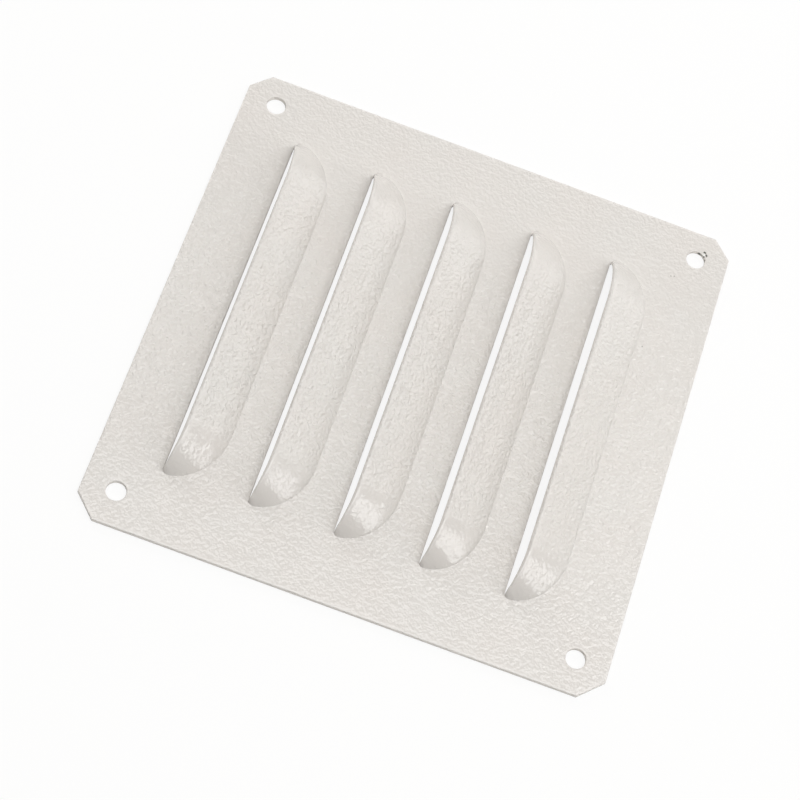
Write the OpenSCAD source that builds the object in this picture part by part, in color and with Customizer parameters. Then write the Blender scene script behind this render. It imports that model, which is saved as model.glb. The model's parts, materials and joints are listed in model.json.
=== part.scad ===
// Enclosure vent grille: one pressed sheet with a row of louvres and four screw holes.
// Millimetres. The back of the sheet lies on z = 0 and the louvres rise along +Z.
// Each louvre runs along Y and opens towards -X. The origin is the middle of the
// pattern of screw holes, on the back.

/* [Sheet] */
// Width of the sheet, along X
sheet_w = 120; // [100:1:140]
// Height of the sheet, along Y
sheet_h = 120; // [100:1:140]
// Thickness of the coated sheet
sheet_t = 1.2; // [0.8:0.1:2]
// Leg of the two corner cuts at the upper edge, +Y
upper_cut = 4.35; // [2:0.05:7]
// Leg of the two corner cuts at the lower edge, -Y
lower_cut = 5.1; // [2:0.05:7]

/* [Screw holes] */
// Diameter of a screw hole
hole_d = 4.5; // [3.5:0.1:5.5]
// From a side edge of the sheet to the middle of the screw holes
side_margin = 7.6; // [6:0.1:9]
// From the upper edge to the middle of the screw holes
upper_margin = 7.2; // [6:0.1:9]
// From the lower edge to the middle of the screw holes
lower_margin = 8; // [6:0.1:9]

/* [Louvres] */
// Distance from one cut line to the next
louvre_pitch = 19.6; // [15:0.1:24]
// Least distance, across the louvres, from the screw holes to the first and last one
louvre_side_gap = 7; // [4:0.1:12]
// From the tips of the louvres to the rows of screw holes
louvre_tip_gap = 7.4; // [5:0.1:15]
// Depth of a louvre in plan, from its cut line to its fold
louvre_depth = 11.3; // [8:0.1:13]
// Clear height of the open side above the front of the sheet
lip_rise = 5.5; // [3:0.1:6.5]
// How far the lip has swung back from the cut line
lip_setback = 1.15; // [0.5:0.05:2]
// Inside radius of the fold
fold_r = 0.8; // [0.4:0.1:1.5]
// Length over which the fold line curves in to the tip
fold_run = 14; // [13:0.1:18]
// From the lower tip of a louvre to the end of its slit
lower_slit_inset = 0.7; // [0.4:0.1:2]
// From the upper tip of a louvre to the end of its slit
upper_slit_inset = 1.7; // [0.4:0.1:2]
// Length over which the lip climbs to its full height from the lower end of the slit
lower_lip_run = 10; // [8:0.1:11]
// Length over which the lip climbs to its full height from the upper end of the slit
upper_lip_run = 12.3; // [8:0.1:12.3]

/* [Smoothness] */
// Sections along each curved end of a louvre
end_steps = 14; // [8:1:20]
// Faces round the fold
fold_steps = 3; // [2:1:6]

/* [Hidden] */
$fn = 64;

coat_colour = "#e2ddd8";
// Slack by which a cutting tool passes through the sheet
over = 1;

// Distance between the screw holes along X and along Y
hole_pitch = [sheet_w - 2 * side_margin, sheet_h - upper_margin - lower_margin];

// As many louvres as the width between the screw holes takes, centred there
louvre_room = hole_pitch.x - 2 * louvre_side_gap - louvre_depth;
louvre_count = floor(louvre_room / louvre_pitch) + 1;
louvre_len = hole_pitch.y - 2 * louvre_tip_gap;
field_w = (louvre_count - 1) * louvre_pitch + louvre_depth;

// Slope of a louvre: its outer side starts at the fold and its inner side ends at the lip
flap = [louvre_depth - lip_setback, lip_rise];
slope = atan2(flap.y, flap.x) + asin(sheet_t / norm(flap));

// Sections are drawn in [x, z], x from the cut line and z from the front of the sheet
fold_centre = [louvre_depth + fold_r * tan(slope / 2), fold_r];
lip_inner = [lip_setback, lip_rise];
lip_outer = lip_inner + sheet_t * [sin(slope), cos(slope)];

// Points round the fold at radius r, from the slope of the louvre down to the flat sheet
function fold_arc(r) = [
    for (i = [fold_steps:-1:0])
        let (a = slope * i / fold_steps)
        fold_centre - r * [sin(a), cos(a)]
];

// Outer and inner side of the full section, each from the lip to the flat sheet
outer_side = concat([lip_outer], fold_arc(fold_r));
inner_side = concat([lip_inner], fold_arc(fold_r + sheet_t));
side_n = len(outer_side);
ring_n = 2 * side_n;

// The outline is kept on a fine grid, so that a hood and its opening share each corner
grid = 1 / 1024;
function snap(v) = round(v / grid) * grid;

// Seen from the front, the fold line ends in a quarter of an ellipse
outline_w = fold_centre.x;
tip_y = louvre_len / 2;
lower_slit_y = -snap(tip_y - lower_slit_inset);
upper_slit_y = snap(tip_y - upper_slit_inset);

// Place of a section near an end of the louvre, the lower one where side is -1, a quarter
// turn being the start of the end and zero its tip: [y of the lip, point of the fold line,
// share of its full height that the lip has there]
function place(side, inset, lip_run, turn) = let (
    s = (fold_run - inset) * (1 - cos(turn)),
    rest = max(0, 1 - s / lip_run)
) [
    side * snap(tip_y - inset - s),
    [snap(outline_w * sin(turn)), side * snap(tip_y - fold_run * (1 - cos(turn)))],
    sqrt(1 - rest ^ 2)
];

places = concat(
    [for (i = [1:end_steps]) place(-1, lower_slit_inset, lower_lip_run, 90 * i / end_steps)],
    [for (i = [end_steps:-1:1]) place(1, upper_slit_inset, upper_lip_run, 90 * i / end_steps)]
);

// One side of the section at a place. The lip swings back with the square of its climb, as
// a flap that turns does, and the rest is drawn in between the lip and the fold line.
function placed_side(side, base, at) = let (
    climb = at[2],
    lip = [side[0].x * climb ^ 2, at[0]]
) [
    for (p = side)
        let (share = (p.x - side[0].x) / (outline_w - side[0].x))
        concat(lip + (at[1] - lip) * share, base + (p.y - base) * climb)
];

function reversed(list) = [for (i = [len(list) - 1:-1:0]) list[i]];

// Closed ring of points round the metal at a place
function ring(at) = concat(
    placed_side(outer_side, 0, at),
    reversed(placed_side(inner_side, -sheet_t, at))
);

// Two points at an end of the slit, where the louvre runs out into the sheet
function slit_end(y) = [[0, y, 0], [0, y, -sheet_t]];

// Two triangles between neighbouring rings that start at points a and b
function band(a, b) = [
    for (k = [0:ring_n - 1], upper = [0, 1])
        let (n = (k + 1) % ring_n)
        upper == 1 ? [a + k, b + k, a + n] : [a + n, b + k, b + n]
];

// Faces that close a ring, starting at point r, on the two points of a slit end from t on
function end_faces(r, t) = concat(
    [for (k = [0:side_n - 2]) [t, r + k, r + k + 1]],
    [for (k = [side_n:ring_n - 2]) [t + 1, r + k, r + k + 1]],
    [[t, r + side_n - 1, r + side_n, t + 1]],
    [[t + 1, r + ring_n - 1, r, t]]
);

function flipped(faces) = [for (f = faces) reversed(f)];

// The pressed hood of one louvre, with its cut line on the Y axis
module hood() {
    last = len(places) - 1;
    points = concat(
        slit_end(lower_slit_y),
        [for (at = places) each ring(at)],
        slit_end(upper_slit_y)
    );
    first_ring = 2;
    last_ring = first_ring + last * ring_n;
    faces = concat(
        end_faces(first_ring, 0),
        [for (i = [0:last - 1]) each band(first_ring + i * ring_n, first_ring + (i + 1) * ring_n)],
        flipped(end_faces(last_ring, last_ring + ring_n))
    );
    polyhedron(points, faces, convexity = 4);
}

// The opening that a hood fills in the flat sheet
module hood_outline() {
    polygon(concat([[0, lower_slit_y]], [for (at = places) at[1]], [[0, upper_slit_y]]));
}

module blank() {
    x = sheet_w / 2;
    low = -hole_pitch.y / 2 - lower_margin;
    high = hole_pitch.y / 2 + upper_margin;
    linear_extrude(sheet_t)
        polygon([
            [lower_cut - x, low], [x - lower_cut, low],
            [x, low + lower_cut], [x, high - upper_cut],
            [x - upper_cut, high], [upper_cut - x, high],
            [-x, high - upper_cut], [-x, low + lower_cut]
        ]);
}

module at_louvres() {
    for (i = [0:louvre_count - 1])
        translate([i * louvre_pitch - field_w / 2, 0, 0])
            children();
}

module at_screw_holes() {
    for (sx = [-1, 1], sy = [-1, 1])
        translate([sx * hole_pitch.x / 2, sy * hole_pitch.y / 2, 0])
            children();
}

module louvred_sheet() {
    color(coat_colour)
        union() {
            difference() {
                blank();
                at_screw_holes()
                    translate([0, 0, -over])
                        cylinder(h = sheet_t + 2 * over, d = hole_d);
                at_louvres()
                    translate([0, 0, -over])
                        linear_extrude(sheet_t + 2 * over)
                            hood_outline();
            }
            at_louvres()
                translate([0, 0, sheet_t])
                    hood();
        }
}

louvred_sheet();
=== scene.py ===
# Enclosure vent grille: one louvred steel sheet with a glossy textured coat, lying on a pale floor.
import json
import math

import bmesh
import bpy
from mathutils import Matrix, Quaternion, Vector


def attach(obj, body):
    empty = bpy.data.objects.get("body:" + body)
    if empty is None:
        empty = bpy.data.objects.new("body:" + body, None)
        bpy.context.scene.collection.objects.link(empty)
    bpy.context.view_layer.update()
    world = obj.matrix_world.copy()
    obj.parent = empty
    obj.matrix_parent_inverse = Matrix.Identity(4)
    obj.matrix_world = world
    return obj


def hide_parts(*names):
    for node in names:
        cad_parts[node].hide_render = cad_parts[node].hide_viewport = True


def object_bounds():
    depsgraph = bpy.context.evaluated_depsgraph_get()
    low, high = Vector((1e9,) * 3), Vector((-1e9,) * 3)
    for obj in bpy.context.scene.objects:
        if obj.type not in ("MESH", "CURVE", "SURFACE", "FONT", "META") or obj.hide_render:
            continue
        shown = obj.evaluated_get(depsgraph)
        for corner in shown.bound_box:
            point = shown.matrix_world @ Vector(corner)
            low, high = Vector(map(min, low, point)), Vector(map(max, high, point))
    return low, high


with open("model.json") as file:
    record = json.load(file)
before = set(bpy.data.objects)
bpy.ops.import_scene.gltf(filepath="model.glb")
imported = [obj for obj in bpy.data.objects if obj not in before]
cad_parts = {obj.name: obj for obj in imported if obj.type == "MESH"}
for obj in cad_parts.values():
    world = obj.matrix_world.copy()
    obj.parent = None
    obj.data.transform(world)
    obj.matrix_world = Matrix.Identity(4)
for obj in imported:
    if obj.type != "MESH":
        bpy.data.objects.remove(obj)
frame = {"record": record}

cadLow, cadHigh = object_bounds()
mm = 0.001                 # the sheet is modelled in millimetres and brought to metres at the end
near = 1e-4                # places closer than this, in millimetres, are the same
low, high = cadLow / mm, cadHigh / mm

screwHoles = next(m for m in frame["record"]["mounts"] if m["name"] == "screw_holes")["dims"]
holeRadius = screwHoles["hole_r_mm"]
holeX, holeY = screwHoles["spacing_x_mm"] / 2, screwHoles["spacing_y_mm"] / 2
holePlaces = [Vector((x, y, 0)) for x in (-holeX, holeX) for y in (-holeY, holeY)]

# The sheet, in millimetres. Its width, height and screw holes come from the frame.
sheet = {
    "thickness": 1.2,
    "upperCut": 4.35,      # legs of the corner cuts
    "lowerCut": 5.1,
    "holeSteps": 64,
    "band": 0.6,           # flat band round each edge, which keeps the shading level beyond it
    "edgeRound": 0.2,      # edges drawn in by the punch and filled by the coat
    "roundSteps": 3,
    "smoothAngle": 40,     # degrees
}

# One louvre, in millimetres. Its cut line lies on x = 0 and its middle on y = 0.
louvre = {
    "count": 5,
    "pitch": 19.6,
    "length": 90,
    "depth": 11.3,         # from the cut line to the fold
    "lipRise": 5.5,        # clear height of the open side
    "lipSetback": 1.15,    # how far the lip has swung back from the cut line
    "foldRadius": 0.35,    # inside the fold
    "shoulder": 0.5,       # length of the steeper strip that the die leaves along the fold
    "shoulderLift": 0.12,  # how far that strip lifts the rest of the louvre's slope
    "lipRound": 0.42,      # the upper edge of the lip is drawn over by the shear
    "foldRun": 14,         # length of the curved ends of the fold line
    "tipRound": 1.2,       # width over which the fold line rounds off to the end of the slit
    # at each end, how far the slit ends before the tip, and the length over which the lip climbs
    "lower": {"slitInset": 0.7, "lipRun": 10},
    "upper": {"slitInset": 1.7, "lipRun": 12.3},
    "flapPlaces": (0.14, 0.35, 0.6, 0.85, 0.97, 1),  # shares of the way from lip to shoulder
    "foldSteps": 6,
    "endSteps": 32,        # sections along each curved end
    "sharpEnd": 1.2,       # length of the edges at a slit's end that stay as they were sheared
}


def only(obj):
    bpy.ops.object.select_all(action="DESELECT")
    obj.select_set(True)
    bpy.context.view_layer.objects.active = obj


def edit(obj):
    only(obj)
    bpy.ops.object.mode_set(mode="EDIT")


def done():
    bpy.ops.object.mode_set(mode="OBJECT")


def pickVerts(obj, test):
    bpy.ops.mesh.select_mode(type="VERT")
    bpy.ops.mesh.select_all(action="DESELECT")
    bm = bmesh.from_edit_mesh(obj.data)
    for v in bm.verts:
        v.select_set(test(v.co))
    bm.select_flush(True)
    bmesh.update_edit_mesh(obj.data)


def pickEdges(obj, test):
    bpy.ops.mesh.select_mode(type="EDGE")
    bpy.ops.mesh.select_all(action="DESELECT")
    bm = bmesh.from_edit_mesh(obj.data)
    for e in bm.edges:
        e.select_set(test(e))
    bm.select_flush_mode()
    bmesh.update_edit_mesh(obj.data)


def move(offset):
    bpy.ops.transform.translate(value=offset)


def turn(centre, angle):
    # counterclockwise as seen from the front. With no window, rotate turns the other way.
    bpy.ops.transform.rotate(value=-angle, orient_axis="Z", center_override=centre)


def extrudeVert(offset):
    bpy.ops.mesh.extrude_vertices_move(TRANSFORM_OT_translate={"value": offset})


def extrudeEdges(offset=(0, 0, 0)):
    bpy.ops.mesh.extrude_edges_move(TRANSFORM_OT_translate={"value": offset})


def scaleAbout(centre, factors):
    bpy.ops.transform.resize(value=factors, center_override=centre)


def markFill(obj):
    # the selected loop is one of those between which the flat sheet is filled in
    if "fill" not in obj.vertex_groups:
        obj.vertex_groups.new(name="fill")
    obj.vertex_groups.active = obj.vertex_groups["fill"]
    bpy.ops.object.vertex_group_assign()


def bandLoop(obj, centre, size, width):
    # a flat band from the selected loop to one that is wider by width on each side
    extrudeEdges()
    scaleAbout(centre, (1 + 2 * width / size[0], 1 + 2 * width / size[1], 1))
    markFill(obj)


# Section of a louvre in [x, z], with z from the front of the sheet
flap = Vector((louvre["depth"] - louvre["lipSetback"], louvre["lipRise"]))
slope = math.atan2(flap.y, flap.x) + math.asin(sheet["thickness"] / flap.length)
normal = Vector((math.sin(slope), math.cos(slope)))
shoulder = Vector((louvre["depth"], 0)) + louvre["shoulderLift"] * normal
shoulder += louvre["shoulder"] * Vector((-math.cos(slope), math.sin(slope)))
steep = math.atan2(shoulder.y, louvre["depth"] - shoulder.x)
steepNormal = Vector((math.sin(steep), math.cos(steep)))
mitre = (normal + steepNormal) / (1 + normal.dot(steepNormal))
foldRadius = louvre["foldRadius"]
foldCentre = Vector((louvre["depth"] + foldRadius * math.tan(steep / 2), foldRadius))
lipInner = Vector((louvre["lipSetback"], louvre["lipRise"]))
lipOuter = lipInner + sheet["thickness"] * normal
tipY = louvre["length"] / 2
outlineW = foldCentre.x
fieldW = (louvre["count"] - 1) * louvre["pitch"] + louvre["depth"]
cutLines = [i * louvre["pitch"] - fieldW / 2 for i in range(louvre["count"])]


def louvreEnd(side):
    return louvre["upper" if side > 0 else "lower"]


def slitEnd(side):
    return side * (tipY - louvreEnd(side)["slitInset"])


def endSection(lipX, side, turned):
    # Seen from the front, a section near an end of the louvre reaches from the lip to the fold
    # line, which is a quarter of an ellipse. Gives its lip, its angle, its reach and its share
    # of the full height. The lip swings back with the square of its climb, as a flap does.
    end = louvreEnd(side)
    along = (louvre["foldRun"] - end["slitInset"]) * (1 - math.cos(turned))
    rest = max(0, 1 - along / end["lipRun"])
    climb = math.sqrt(1 - rest ** 2)
    lip = Vector((lipX * climb ** 2, slitEnd(side) - side * along, 0))
    foldX = outlineW * math.sin(turned)
    corner = end["slitInset"] * max(0, 1 - foldX / louvre["tipRound"]) ** 2
    foldY = side * (tipY - louvre["foldRun"] * (1 - math.cos(turned)) - corner)
    across = Vector((foldX, foldY, 0)) - lip
    return lip, math.atan2(across.y, across.x), across.length, climb


def onOutline(co):
    # the sheet's outline has all its corners on the sides of its box
    return min(abs(co.x - low.x), abs(co.x - high.x), abs(co.y - low.y), abs(co.y - high.y)) < near


def drawEnd(lipX, side):
    # from the selected section to the end of the slit, section by section
    steps = louvre["endSteps"]
    places = [endSection(lipX, side, math.pi / 2 * i / steps) for i in range(steps, -1, -1)]
    for drawn, wanted in zip(places, places[1:]):
        foot, angle, reach, climb = drawn
        newFoot, newAngle, newReach, newClimb = wanted
        extrudeEdges()
        turn(foot, -angle)
        scaleAbout(foot, (newReach / reach, 1, newClimb / climb))
        move(newFoot - foot)
        turn(newFoot, newAngle)
    bpy.ops.mesh.merge(type="CENTER")
    extrudeVert((0, -side * louvre["sharpEnd"], 0))


def makeLouvreSkin(name, lip, radius, base):
    # the front or the back of one louvre, with z from that side of the sheet
    bpy.ops.object.select_all(action="DESELECT")
    bpy.ops.mesh.primitive_plane_add(size=1)
    obj = bpy.context.object
    obj.name = name
    bpy.ops.object.mode_set(mode="EDIT")
    bpy.ops.mesh.merge(type="CENTER")
    lip = Vector((lip.x, lip.y - base))
    centre = Vector((foldCentre.x, foldCentre.y - base))
    foldStart = centre - radius * steepNormal
    flapEnd = shoulder + base * mitre - Vector((0, base))
    move((lip.x, 0, lip.y))
    for start, end in zip((0,) + louvre["flapPlaces"], louvre["flapPlaces"]):
        step = (flapEnd - lip) * (end - start)
        extrudeVert((step.x, 0, step.y))
    extrudeVert((foldStart.x - flapEnd.x, 0, foldStart.y - flapEnd.y))
    bpy.ops.mesh.spin(
        steps=louvre["foldSteps"], angle=steep, center=(centre.x, 0, centre.y), axis=(0, 1, 0)
    )
    # the straight middle, then the upper end, the cut line and the lower end
    straight = tipY - louvre["foldRun"]
    bpy.ops.mesh.select_all(action="SELECT")
    move((0, -straight, 0))
    extrudeEdges((0, 2 * straight, 0))
    drawEnd(lip.x, 1)
    extrudeVert((0, slitEnd(-1) - slitEnd(1) + 2 * louvre["sharpEnd"], 0))
    pickVerts(obj, lambda co: abs(co.y + straight) < near)
    drawEnd(lip.x, -1)
    bpy.ops.mesh.select_all(action="SELECT")
    bpy.ops.mesh.remove_doubles(threshold=near)
    pickVerts(obj, lambda co: abs(co.z) < near)
    bandLoop(obj, (outlineW / 2, 0, 0), (outlineW, louvre["length"]), sheet["band"])
    done()
    return obj


def makeSkin(name, lip, radius, base):
    # the whole front or back of the sheet
    obj = makeLouvreSkin(name, lip, radius, base)
    bpy.ops.object.modifier_add(type="ARRAY")
    row = obj.modifiers["Array"]
    row.count = louvre["count"]
    row.use_relative_offset = False
    row.use_constant_offset = True
    row.constant_offset_displace = (louvre["pitch"], 0, 0)
    bpy.ops.object.modifier_apply(modifier="Array")

    edit(obj)
    bpy.ops.mesh.select_all(action="SELECT")
    move((cutLines[0], 0, 0))

    size = high - low
    middle = ((low.x + high.x) / 2, (low.y + high.y) / 2, 0)
    bpy.ops.mesh.select_all(action="DESELECT")
    bpy.ops.mesh.primitive_plane_add(size=1)
    scaleAbout((0, 0, 0), (size.x, size.y, 1))
    move(middle)
    for side, leg in ((1, sheet["upperCut"]), (-1, sheet["lowerCut"])):
        edgeY = high.y if side > 0 else low.y
        pickVerts(obj, lambda co: abs(co.y - edgeY) < near and onOutline(co))
        bpy.ops.mesh.bevel(offset=leg, affect="VERTICES", segments=1)
    pickVerts(obj, onOutline)
    bpy.ops.mesh.delete(type="ONLY_FACE")
    pickVerts(obj, onOutline)
    bandLoop(obj, middle, size, -sheet["band"])

    for place in holePlaces:
        bpy.ops.mesh.select_all(action="DESELECT")
        bpy.ops.mesh.primitive_circle_add(
            vertices=sheet["holeSteps"], radius=holeRadius, location=place
        )
        bandLoop(obj, place, (2 * holeRadius, 2 * holeRadius), sheet["band"])

    bpy.ops.mesh.select_all(action="DESELECT")
    bpy.ops.object.vertex_group_select()
    bpy.ops.mesh.fill(use_beauty=True)
    bpy.ops.mesh.select_all(action="SELECT")
    move((0, 0, base + sheet["thickness"]))
    done()
    obj.vertex_groups.clear()
    return obj


def closeRim(obj, test):
    # a wall from the edge of the front to the same edge of the back
    pickEdges(obj, lambda e: e.is_boundary and test(e.verts[0].co, e.verts[1].co))
    bpy.ops.mesh.bridge_edge_loops()
    bpy.ops.mesh.region_to_loop()
    bpy.ops.mesh.mark_sharp()


def makeSheet():
    obj = makeSkin("louvredSheet", lipOuter, foldRadius, 0)
    thick = sheet["thickness"]
    back = makeSkin("back", lipInner, foldRadius + thick, -thick)
    bpy.ops.object.select_all(action="DESELECT")
    back.select_set(True)
    obj.select_set(True)
    bpy.context.view_layer.objects.active = obj
    bpy.ops.object.join()

    edit(obj)
    closeRim(obj, lambda a, b: onOutline(a) and onOutline(b))
    reach = holeRadius + sheet["band"] / 2
    for place in holePlaces:
        closeRim(obj, lambda a, b: (a - place).xy.length < reach)
    for cutX in cutLines:
        closeRim(obj, lambda a, b: max(abs(a.x - cutX), abs(b.x - cutX)) < near)
        closeRim(obj, lambda a, b: cutX + near < max(a.x, b.x) < cutX + lipOuter.x + near)
    bpy.ops.mesh.select_all(action="SELECT")
    bpy.ops.mesh.normals_make_consistent(inside=False)

    # round the edges, apart from the ends of the slits
    lowest, highest = (slitEnd(side) - side * (louvre["sharpEnd"] - near) for side in (-1, 1))
    beyond = holeY - 2 * holeRadius  # only the screw holes and the outline lie beyond this height

    def onLip(co):
        climb = (co.z - thick) / lipOuter.y
        return lowest < co.y < highest and climb > near and any(
            abs(co.x - cutX - lipOuter.x * climb ** 2) < near for cutX in cutLines
        )

    pickEdges(obj, lambda e: not e.smooth and not onLip(e.verts[0].co) and (
        onOutline(e.verts[0].co)
        or min(abs(v.co.y) for v in e.verts) > beyond
        or all(lowest < v.co.y < highest for v in e.verts)
    ))
    bpy.ops.mesh.bevel(offset=sheet["edgeRound"], segments=sheet["roundSteps"])
    pickEdges(obj, lambda e: not e.smooth and all(onLip(v.co) for v in e.verts))
    bpy.ops.mesh.bevel(offset=louvre["lipRound"], segments=sheet["roundSteps"])
    bpy.ops.mesh.select_all(action="SELECT")
    bpy.ops.mesh.mark_sharp(clear=True)
    bpy.ops.mesh.remove_doubles(threshold=near)
    bpy.ops.mesh.normals_make_consistent(inside=False)
    scaleAbout((0, 0, 0), (mm, mm, mm))
    done()
    bpy.ops.object.shade_smooth_by_angle(angle=math.radians(sheet["smoothAngle"]))
    obj.data.materials.clear()
    obj.data.materials.append(texturedCoat())
    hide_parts("louvred_sheet")
    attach(obj, "root")
    return obj


def linear(hexColour):
    # sRGB hex to the linear colour that a shader takes
    parts = [int(hexColour[i:i + 2], 16) / 255 for i in (1, 3, 5)]
    return [p / 12.92 if p <= 0.04045 else ((p + 0.055) / 1.055) ** 2.4 for p in parts] + [1]


def addNode(tree, kind, settings, links):
    # a setting is the value of a socket, by its name or number, or else a property of the node
    node = tree.nodes.new(kind)
    for name, value in settings.items():
        if isinstance(name, int) or name in node.inputs:
            node.inputs[name].default_value = value
        else:
            setattr(node, name, value)
    for name, source in links.items():
        tree.links.new(source, node.inputs[name])
    return node


def addEase(tree, source, stretch, start, end):
    # from start to end while source passes the stretch, in millimetres
    return addNode(tree, "ShaderNodeMapRange", {
        "From Min": stretch[0] * mm, "From Max": stretch[1] * mm, "To Min": start, "To Max": end,
    }, {"Value": source})


def newMaterial(name):
    material = bpy.data.materials.new(name)
    material.use_nodes = True
    material.node_tree.nodes.clear()
    return material, material.node_tree


# Textured powder coat on steel: a thick baked polyester skin that has wrinkled a little as
# it flowed. The eye sees a glossy warm light grey with a fine wormy grain, faint under a broad
# lamp and crisp where a small one is mirrored.
coat = {
    "colour": "#e0ddd8",
    "warm": "#e1dbd5",     # tint of the clouds
    "cloudMm": 14,
    "roughness": 0.05,
    "ior": 1.65,
    "grainMm": 0.75,       # from one wrinkle to the next
    "curl": 0.5,           # how much the wrinkles wind
    "fineMm": 0.4,         # a finer grain on top
    "fineShare": 0.2,      # its height beside that of the wrinkles
    "grainHeightMm": 0.29,
    "grainyY": -8,         # the grain is highest at this height on the sheet, in millimetres
    "ease": (13, 48),      # and eases off over this stretch above and below it
    "edgeGrain": 0.4,      # share of its height that is left there
    "endY": (-32, -34),    # the stretched lower ends of the louvres start over this stretch
    "endRise": (0.2, 0.8),  # and at this rise above the front of the sheet
    "endLoss": 0.45,       # share of the grain's height that is lost there
}

# Small marks where the coat is scraped and chipped: centre and radius in millimetres, colour
wear = {
    "ragged": 0.15,        # how far the outline of a mark wanders, in millimetres
    "raggedMm": 0.4,
    "fade": (1.1, 0.8),    # a mark fades in between these shares of its radius
    "marks": (
        # by a screw hole, in its wall and where a screw head sat
        ((52.85, 54.61, 0.65), 0.36, "#2f2e2b"),
        ((53.4, 54.4, 0.65), 0.25, "#8b8a84"),
        ((53.97, 55.05, 1.2), 0.28, "#5f5e58"),
        ((54.49, 54.6, 1.2), 0.24, "#55534e"),
        ((54.65, 54.2, 1.2), 0.25, "#7a7871"),
        ((54.03, 53.95, 1), 0.28, "#4f4d48"),
        ((54.52, 53.15, 0.85), 0.3, "#3f3d39"),
        ((53.85, 54.45, 1.15), 0.42, "#f4f3ee"),
        # specks
        ((46.28, 25.45, 1.2), 0.17, "#9a978f"),
        ((47.96, 45.77, 1.2), 0.15, "#9a978f"),
        ((48.63, 46.05, 1.2), 0.15, "#9a978f"),
        ((25.97, 54.9, 1.2), 0.15, "#9a978f"),
    ),
}


def texturedCoat():
    material, tree = newMaterial("texturedPowderCoatOnSteel")
    place = addNode(tree, "ShaderNodeTexCoord", {}, {}).outputs["Object"]
    grain = addNode(tree, "ShaderNodeTexNoise", {
        "Scale": 1 / (coat["grainMm"] * mm), "Detail": 0.0, "Distortion": coat["curl"],
    }, {"Vector": place})
    fine = addNode(tree, "ShaderNodeTexNoise", {
        "Scale": 1 / (coat["fineMm"] * mm), "Detail": 0.0,
    }, {"Vector": place})
    height = addNode(tree, "ShaderNodeMath", {"operation": "MULTIPLY_ADD", 1: coat["fineShare"]}, {
        0: fine.outputs["Fac"], 2: grain.outputs["Fac"],
    })
    axes = addNode(tree, "ShaderNodeSeparateXYZ", {}, {0: place}).outputs
    above = addNode(tree, "ShaderNodeMath", {"operation": "SUBTRACT", 1: coat["grainyY"] * mm}, {
        0: axes["Y"],
    })
    away = addNode(tree, "ShaderNodeMath", {"operation": "ABSOLUTE"}, {0: above.outputs[0]})
    level = addEase(tree, away.outputs[0], coat["ease"], 1, coat["edgeGrain"])
    lowerEnd = addEase(tree, axes["Y"], coat["endY"], 0, 1)
    rise = [sheet["thickness"] + r for r in coat["endRise"]]
    raised = addEase(tree, axes["Z"], rise, 0, -coat["endLoss"])
    amount = addNode(tree, "ShaderNodeMath", {"operation": "MULTIPLY_ADD"}, {
        0: lowerEnd.outputs[0], 1: raised.outputs[0], 2: level.outputs[0],
    })
    bump = addNode(tree, "ShaderNodeBump", {"Distance": coat["grainHeightMm"] * mm}, {
        "Height": height.outputs[0], "Strength": amount.outputs[0],
    })
    cloud = addNode(tree, "ShaderNodeTexNoise", {
        "Scale": 1 / (coat["cloudMm"] * mm), "Detail": 2.0,
    }, {"Vector": place})
    tint = addNode(tree, "ShaderNodeMix", {
        "data_type": "RGBA", 6: linear(coat["colour"]), 7: linear(coat["warm"]),
    }, {0: cloud.outputs["Fac"]})
    wander = addNode(tree, "ShaderNodeTexNoise", {
        "Scale": 1 / (wear["raggedMm"] * mm), "Detail": 1.0, "normalize": False,
    }, {"Vector": place})
    ragged = addNode(tree, "ShaderNodeVectorMath", {
        "operation": "MULTIPLY_ADD", 1: (wear["ragged"] * mm,) * 3,
    }, {0: wander.outputs["Color"], 2: place})
    for centre, radius, colour in wear["marks"]:
        distance = addNode(tree, "ShaderNodeVectorMath", {
            "operation": "DISTANCE", 1: Vector(centre) * mm,
        }, {0: ragged.outputs[0]})
        share = addEase(tree, distance.outputs["Value"], [f * radius for f in wear["fade"]], 0, 1)
        tint = addNode(tree, "ShaderNodeMix", {"data_type": "RGBA", 7: linear(colour)}, {
            0: share.outputs[0], 6: tint.outputs[2],
        })
    shader = addNode(tree, "ShaderNodeBsdfPrincipled", {
        "Roughness": coat["roughness"], "IOR": coat["ior"],
    }, {"Base Color": tint.outputs[2], "Normal": bump.outputs["Normal"]})
    addNode(tree, "ShaderNodeOutputMaterial", {}, {"Surface": shader.outputs[0]})
    return material


# The room, in metres. A share is about the light that a level surface gets from a lamp or from
# the world, where 1 in all shows a colour as written.
room = {
    "worldShare": 0.02,
    "floorColour": "#f4f3f0",
    "floorGap": 0.0001,    # the floor lies just under the back
    "floorSize": 6,
    "floorWhite": 0.85,    # share of plain white that the floor shows beside its own shading
}
# Azimuth is from +X towards +Y. The first lamp is broad and overhead; the window is mirrored in
# the lower ends of the louvres.
lamps = {
    "key": {"azimuth": -90, "elevation": 79, "away": 1.2, "size": (1.3, 1.3), "share": 0.83},
    "left": {"azimuth": 135, "elevation": 25, "away": 0.9, "size": (0.5, 0.5), "share": 0.12},
    "back": {"azimuth": 90, "elevation": 35, "away": 0.9, "size": (0.5, 0.5), "share": 0.07},
    "right": {"azimuth": 42, "elevation": 20, "away": 0.9, "size": (0.48, 0.44), "share": 0.046},
    "side": {"azimuth": 0, "elevation": 52, "away": 0.9, "size": (0.6, 0.6), "share": 0.195},
    "window": {"azimuth": -9, "elevation": 20, "away": 1.2, "size": (0.74, 0.25), "share": 0.042},
}
# The camera, in millimetres
view = {
    "target": (-1.82, -8.79, 1.2),
    "distance": 508.2,
    "azimuth": 1.61,       # the way the camera looks, from +Y towards +X
    "elevation": 63.58,
    "roll": 21.55,
    "lens": 102.77,
    "nearest": 10,         # nothing closer than this is drawn
}


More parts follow.
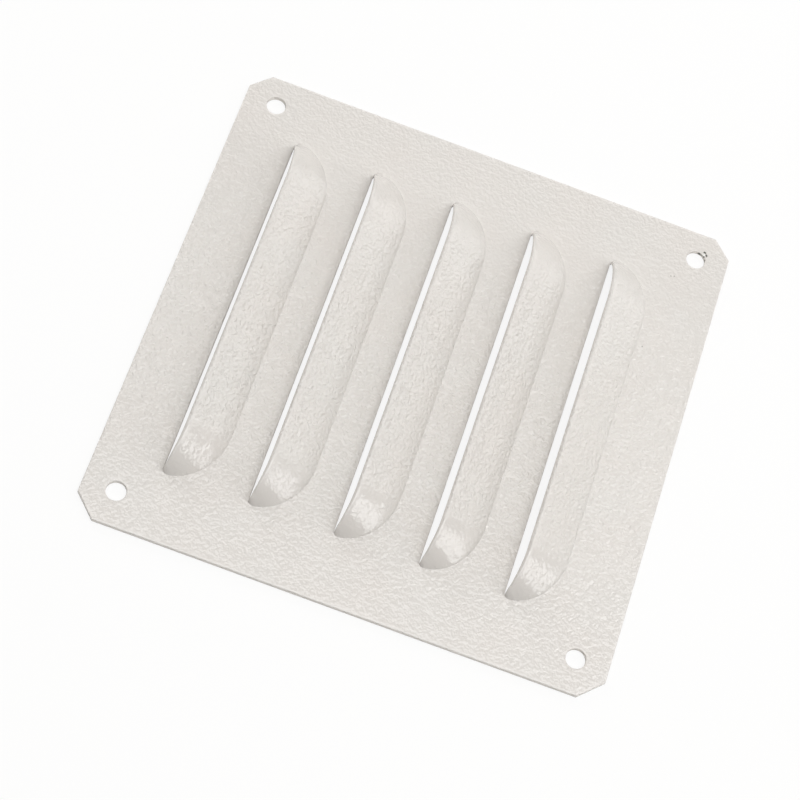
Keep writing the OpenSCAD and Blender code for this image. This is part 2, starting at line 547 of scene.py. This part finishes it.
def whiteForEye(tree):
    # 1 for what the camera sees straight. The coat mirrors the lamps and the dark room.
    return addNode(tree, "ShaderNodeLightPath", {}, {}).outputs["Is Camera Ray"]


def makeFloor():
    bpy.ops.object.select_all(action="DESELECT")
    height = cadLow.z - room["floorGap"]
    bpy.ops.mesh.primitive_plane_add(size=room["floorSize"], location=(0, 0, height))
    floor = bpy.context.object
    floor.name = "floor"
    # smooth matt board: the eye sees an even near white with faint soft shadows
    material, tree = newMaterial("paleBoard")
    paper = addNode(tree, "ShaderNodeBsdfDiffuse", {"Color": linear(room["floorColour"])}, {})
    white = addNode(tree, "ShaderNodeEmission", {"Strength": 1.0}, {})
    share = addNode(tree, "ShaderNodeMath", {"operation": "MULTIPLY", 1: room["floorWhite"]}, {
        0: whiteForEye(tree),
    })
    mix = addNode(tree, "ShaderNodeMixShader", {}, {
        0: share.outputs[0], 1: paper.outputs[0], 2: white.outputs[0],
    })
    addNode(tree, "ShaderNodeOutputMaterial", {}, {"Surface": mix.outputs[0]})
    floor.data.materials.append(material)


def makeWorld():
    world = bpy.data.worlds.new("studio")
    world.use_nodes = True
    bpy.context.scene.world = world
    tree = world.node_tree
    tree.nodes.clear()
    dim, plain = (
        addNode(tree, "ShaderNodeBackground", {"Color": (1, 1, 1, 1), "Strength": strength}, {})
        for strength in (room["worldShare"], 1.0)
    )
    mix = addNode(tree, "ShaderNodeMixShader", {}, {
        0: whiteForEye(tree), 1: dim.outputs[0], 2: plain.outputs[0],
    })
    addNode(tree, "ShaderNodeOutputWorld", {}, {"Surface": mix.outputs[0]})


def makeLamp(name, lamp):
    azimuth, elevation = math.radians(lamp["azimuth"]), math.radians(lamp["elevation"])
    towards = Vector((
        math.cos(azimuth) * math.cos(elevation),
        math.sin(azimuth) * math.cos(elevation),
        math.sin(elevation),
    ))
    bpy.ops.object.light_add(type="AREA", location=towards * lamp["away"])
    obj = bpy.context.object
    obj.name = name
    obj.rotation_euler = (-towards).to_track_quat("-Z", "Y").to_euler()
    obj.data.shape = "RECTANGLE"
    obj.data.size, obj.data.size_y = lamp["size"]
    # a small lamp of power P lights a surface that faces it by P / (pi distance)^2
    obj.data.energy = lamp["share"] * (math.pi * lamp["away"]) ** 2 / math.sin(elevation)


def makeCamera():
    azimuth, elevation = math.radians(view["azimuth"]), math.radians(view["elevation"])
    ahead = Vector((
        math.sin(azimuth) * math.cos(elevation),
        math.cos(azimuth) * math.cos(elevation),
        -math.sin(elevation),
    ))
    bpy.ops.object.camera_add(location=(Vector(view["target"]) - ahead * view["distance"]) * mm)
    camera = bpy.context.object
    camera.rotation_mode = "QUATERNION"
    roll = Quaternion((0, 0, 1), math.radians(view["roll"]))
    camera.rotation_quaternion = ahead.to_track_quat("-Z", "Y") @ roll
    camera.data.lens = view["lens"]
    camera.data.clip_start = view["nearest"] * mm
    bpy.context.scene.camera = camera


print("stage: camera, floor and light")
makeCamera()
makeFloor()
makeWorld()
for name, lamp in lamps.items():
    makeLamp(name, lamp)
bpy.context.scene.view_settings.view_transform = "Standard"

print("stage: louvred sheet")
louvredSheet = makeSheet()
print("faces:", len(louvredSheet.data.polygons))
